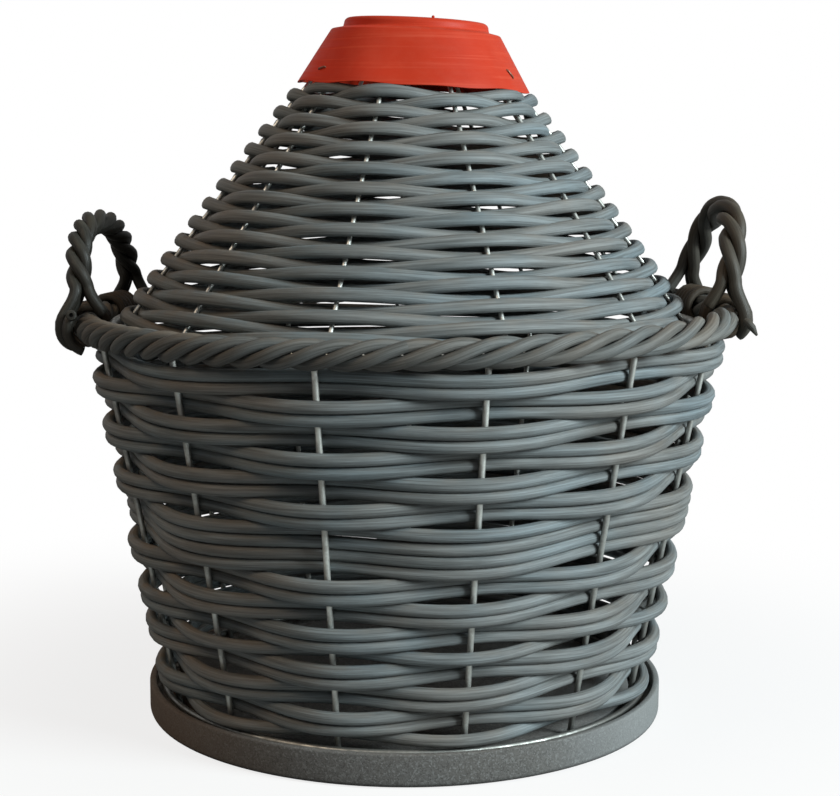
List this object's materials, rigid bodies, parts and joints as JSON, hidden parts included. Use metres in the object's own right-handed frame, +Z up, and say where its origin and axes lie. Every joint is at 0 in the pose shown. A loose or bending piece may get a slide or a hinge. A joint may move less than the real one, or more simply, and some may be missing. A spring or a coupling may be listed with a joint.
{
  "type": "demijohn basket",
  "caption": "Round woven basket for a demijohn: flared strand tub on a moulded base, rope border with two loop handles, and a lift-off cone cover with a neck collar.",
  "frame": {"origin": "middle of the flat underside of the base", "axes": "+Z up, -Y to the front of the basket as pictured, +X to the picture's right, through the handles"},
  "size_m": [0.2442, 0.2412, 0.2532],
  "materials": {
    "base": "moulded, speckled and grainy",
    "wire": "galvanised wire",
    "strand": "extruded strand, satin",
    "handle": "extruded strand, dark",
    "collar": "thin satin plastic"
  },
  "bodies": {
    "tub": {"base": "base", "foot_hoop": "wire", "tub_stake_01": "wire", "tub_stake_02": "wire", "tub_stake_03": "wire", "tub_stake_04": "wire", "tub_stake_05": "wire", "tub_stake_06": "wire", "tub_stake_07": "wire", "tub_stake_08": "wire", "tub_stake_09": "wire", "tub_stake_10": "wire", "tub_stake_11": "wire", "tub_stake_12": "wire", "tub_stake_13": "wire", "tub_weaver_lower_a": "strand", "tub_weaver_lower_b": "strand", "tub_weaver_middle_b": "strand", "tub_weaver_upper_a": "strand", "tub_weaver_upper_b": "strand", "rim_rope": "strand"},
    "hat": {"hat_foot_hoop": "wire", "hat_top_hoop": "wire", "hat_stake_01": "wire", "hat_stake_02": "wire", "hat_stake_03": "wire", "hat_stake_04": "wire", "hat_stake_05": "wire", "hat_stake_06": "wire", "hat_stake_07": "wire", "hat_stake_08": "wire", "hat_stake_09": "wire", "hat_stake_10": "wire", "hat_stake_11": "wire", "hat_weaver_lower": "strand", "hat_weaver_middle": "strand", "hat_weaver_upper": "strand", "collar": "collar"},
    "left_handle": {"left_handle_strand_a": "handle", "left_handle_strand_b": "handle", "left_handle_strand_c": "handle"},
    "right_handle": {"right_handle_strand_a": "handle", "right_handle_strand_b": "handle", "right_handle_strand_c": "handle"}
  },
  "joints": [
    {"name": "hat_lift", "type": "slide", "parent": "tub", "child": "hat", "axis": [0, 0, 1], "range_m": [0, 0.15]},
    {"name": "left_handle_swing", "type": "hinge", "parent": "tub", "child": "left_handle", "pos_m": [-0.10954, 0.00766, 0.14366], "axis": [-0.0698, -0.9976, -0.0011], "range_deg": [-3, 25]},
    {"name": "right_handle_swing", "type": "hinge", "parent": "tub", "child": "right_handle", "pos_m": [0.10978, 0.00864, 0.14727], "axis": [-0.0785, 0.9969, -0.0013], "range_deg": [-3, 25]}
  ]
}
